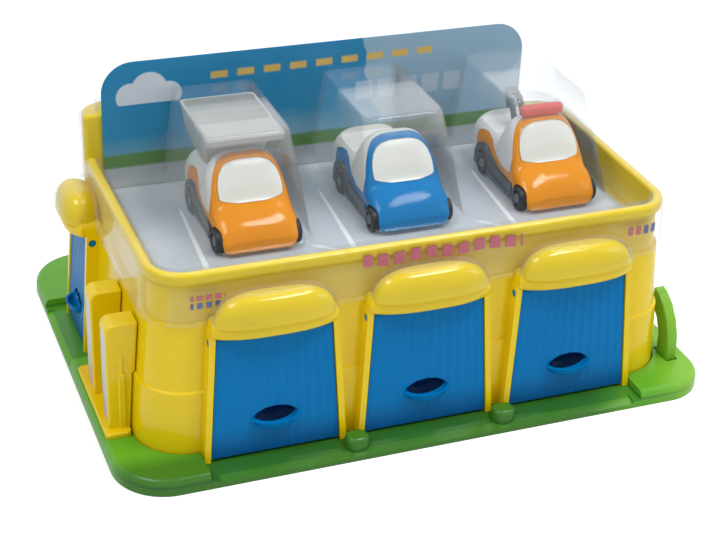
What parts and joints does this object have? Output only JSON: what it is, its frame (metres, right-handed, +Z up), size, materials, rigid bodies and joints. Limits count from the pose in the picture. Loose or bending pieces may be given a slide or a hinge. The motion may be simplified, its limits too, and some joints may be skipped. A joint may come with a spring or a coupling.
{
  "type": "toy garage",
  "caption": "Toy garage with flap doors, fuel pumps and a roof-top car park holding small cars under a clear formed cover.",
  "frame": {"origin": "centre of the bounding box on the ground", "axes": "+X to the right along the three front doors, +Y to the back, +Z up"},
  "size_m": [0.416, 0.304, 0.2095],
  "materials": {
    "yellow_plastic": "glossy",
    "green_plastic": "glossy",
    "blue_plastic": "satin",
    "deck_print": "printed card",
    "sky_print": "printed card",
    "label_print": "printed label",
    "clear_film": "clear formed film",
    "slate_plastic": "satin",
    "tyre_plastic": "satin",
    "cream_plastic": "glossy",
    "white_plastic": "glossy",
    "grey_plastic": "satin",
    "orange_plastic": "glossy",
    "car_blue_plastic": "glossy",
    "red_plastic": "glossy",
    "axle_steel": "plain"
  },
  "bodies": {
    "garage": {"base_plate": "green_plastic", "side_clip": "green_plastic", "garage_body": "yellow_plastic", "pump_island": "yellow_plastic", "pump_label_1": "label_print", "pump_label_2": "label_print", "deck_card": "deck_print", "back_card": "sky_print", "truck_bed": "grey_plastic", "tow_light_bar": "red_plastic", "tow_crane": "slate_plastic", "truck_shell": "orange_plastic", "truck_upper": "white_plastic", "truck_screen": "cream_plastic", "truck_chassis": "slate_plastic", "coupe_shell": "car_blue_plastic", "coupe_upper": "cream_plastic", "coupe_screen": "cream_plastic", "coupe_chassis": "slate_plastic", "tow_shell": "orange_plastic", "tow_upper": "white_plastic", "tow_screen": "cream_plastic", "tow_chassis": "slate_plastic"},
    "cover": {"film_cover": "clear_film"},
    "front_door_1": {"front_door_1": "blue_plastic"},
    "front_door_2": {"front_door_2": "blue_plastic"},
    "front_door_3": {"front_door_3": "blue_plastic"},
    "side_door": {"side_door": "blue_plastic"},
    "truck_front_wheels": {"truck_axle_front": "axle_steel", "truck_wheel_front_left": "tyre_plastic", "truck_wheel_front_right": "tyre_plastic"},
    "truck_rear_wheels": {"truck_axle_rear": "axle_steel", "truck_wheel_rear_left": "tyre_plastic", "truck_wheel_rear_right": "tyre_plastic"},
    "coupe_front_wheels": {"coupe_axle_front": "axle_steel", "coupe_wheel_front_left": "tyre_plastic", "coupe_wheel_front_right": "tyre_plastic"},
    "coupe_rear_wheels": {"coupe_axle_rear": "axle_steel", "coupe_wheel_rear_left": "tyre_plastic", "coupe_wheel_rear_right": "tyre_plastic"},
    "tow_front_wheels": {"tow_axle_front": "axle_steel", "tow_wheel_front_left": "tyre_plastic", "tow_wheel_front_right": "tyre_plastic"},
    "tow_rear_wheels": {"tow_axle_rear": "axle_steel", "tow_wheel_rear_left": "tyre_plastic", "tow_wheel_rear_right": "tyre_plastic"}
  },
  "joints": [
    {"name": "front_door_1_hinge", "type": "hinge", "parent": "garage", "child": "front_door_1", "pos_m": [-0.1038, -0.12428, 0.0905], "axis": [-1, 0, 0], "range_deg": [0, 85]},
    {"name": "front_door_2_hinge", "type": "hinge", "parent": "garage", "child": "front_door_2", "pos_m": [0, -0.12428, 0.0905], "axis": [-1, 0, 0], "range_deg": [0, 85]},
    {"name": "front_door_3_hinge", "type": "hinge", "parent": "garage", "child": "front_door_3", "pos_m": [0.1038, -0.12428, 0.0905], "axis": [-1, 0, 0], "range_deg": [0, 85]},
    {"name": "side_door_hinge", "type": "hinge", "parent": "garage", "child": "side_door", "pos_m": [-0.18513, 0.046, 0.0905], "axis": [0, 1, 0], "range_deg": [0, 85]},
    {"name": "cover_lift", "type": "slide", "parent": "garage", "child": "cover", "axis": [0, 0, 1], "range_m": [0, 0.11]},
    {"name": "truck_front_roll", "type": "hinge", "parent": "garage", "child": "truck_front_wheels", "pos_m": [-0.0927, -0.0535, 0.1206], "axis": [1, 0, 0], "continuous": true},
    {"name": "truck_rear_roll", "type": "hinge", "parent": "garage", "child": "truck_rear_wheels", "pos_m": [-0.0927, 0.0045, 0.1206], "axis": [1, 0, 0], "continuous": true},
    {"name": "coupe_front_roll", "type": "hinge", "parent": "garage", "child": "coupe_front_wheels", "pos_m": [0.0142, -0.0535, 0.1206], "axis": [1, 0, 0], "continuous": true},
    {"name": "coupe_rear_roll", "type": "hinge", "parent": "garage", "child": "coupe_rear_wheels", "pos_m": [0.0142, 0.0045, 0.1206], "axis": [1, 0, 0], "continuous": true},
    {"name": "tow_front_roll", "type": "hinge", "parent": "garage", "child": "tow_front_wheels", "pos_m": [0.1225, -0.0535, 0.1206], "axis": [1, 0, 0], "continuous": true},
    {"name": "tow_rear_roll", "type": "hinge", "parent": "garage", "child": "tow_rear_wheels", "pos_m": [0.1225, 0.0045, 0.1206], "axis": [1, 0, 0], "continuous": true}
  ]
}
